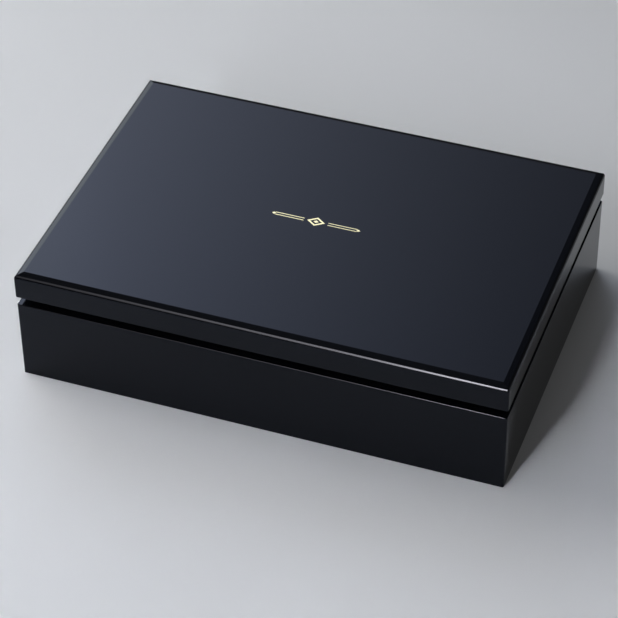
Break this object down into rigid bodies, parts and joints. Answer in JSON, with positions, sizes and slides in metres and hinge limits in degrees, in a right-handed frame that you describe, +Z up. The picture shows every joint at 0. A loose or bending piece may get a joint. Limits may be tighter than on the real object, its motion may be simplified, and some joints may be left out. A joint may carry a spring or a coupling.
{
  "type": "pen collector box",
  "caption": "Black-lacquered display box for pens: hinged lid with a shallow bevelled edge over a shadow gap, grooved lower bed and a lift-out grooved tray.",
  "frame": {"origin": "under the middle of the case, on the face that it rests on", "axes": "+X along the long front to the right, +Y from the front towards the hinges, +Z up"},
  "size_m": [0.27, 0.187, 0.069],
  "materials": {
    "black_lacquer": "polished black lacquer over fibreboard",
    "liner_lacquer": "satin black lacquer outside, suede-covered inside",
    "panel_board": "black-stained fibreboard",
    "felt": "black pressed felt",
    "liner_suede": "flocked suede cloth on board",
    "groove_suede": "flocked suede cloth",
    "lining_suede": "flocked suede cloth over thin padding",
    "tray_lacquer": "satin black lacquer",
    "ribbon": "tan grosgrain ribbon",
    "hinge_brass": "brushed brass",
    "pin_steel": "bright steel wire",
    "screw_brass": "polished brass"
  },
  "bodies": {
    "base": {"base_front_wall": "black_lacquer", "base_back_wall": "black_lacquer", "base_left_wall": "black_lacquer", "base_right_wall": "black_lacquer", "base_bottom_panel": "panel_board", "base_felt": "felt", "liner_front": "liner_lacquer", "liner_back": "liner_lacquer", "liner_left": "liner_lacquer", "liner_right": "liner_lacquer", "tray_ledge_left": "liner_suede", "tray_ledge_right": "liner_suede", "lower_bed_front": "groove_suede", "lower_bed_rear": "groove_suede", "lower_floor_pad": "groove_suede", "tray_floor": "panel_board", "tray_front_rail": "tray_lacquer", "tray_back_rail": "tray_lacquer", "tray_left_rail": "tray_lacquer", "tray_right_rail": "tray_lacquer", "tray_bed_front": "groove_suede", "tray_bed_rear": "groove_suede", "tray_floor_pad": "groove_suede", "ribbon_pull_left": "ribbon", "ribbon_pull_right": "ribbon", "hinge_left_base_leaf": "hinge_brass", "hinge_right_base_leaf": "hinge_brass", "hinge_left_pin": "pin_steel", "hinge_right_pin": "pin_steel", "base_hinge_screws": "screw_brass"},
    "lid": {"lid_panel": "black_lacquer", "lid_lining_pad": "lining_suede", "hinge_left_lid_leaf": "hinge_brass", "hinge_right_lid_leaf": "hinge_brass", "lid_hinge_screws": "screw_brass"}
  },
  "joints": [
    {"name": "lid_hinge", "type": "hinge", "parent": "base", "child": "lid", "pos_m": [0, 0.09095, 0.05105], "axis": [-1, 0, 0], "range_deg": [0, 95]}
  ]
}
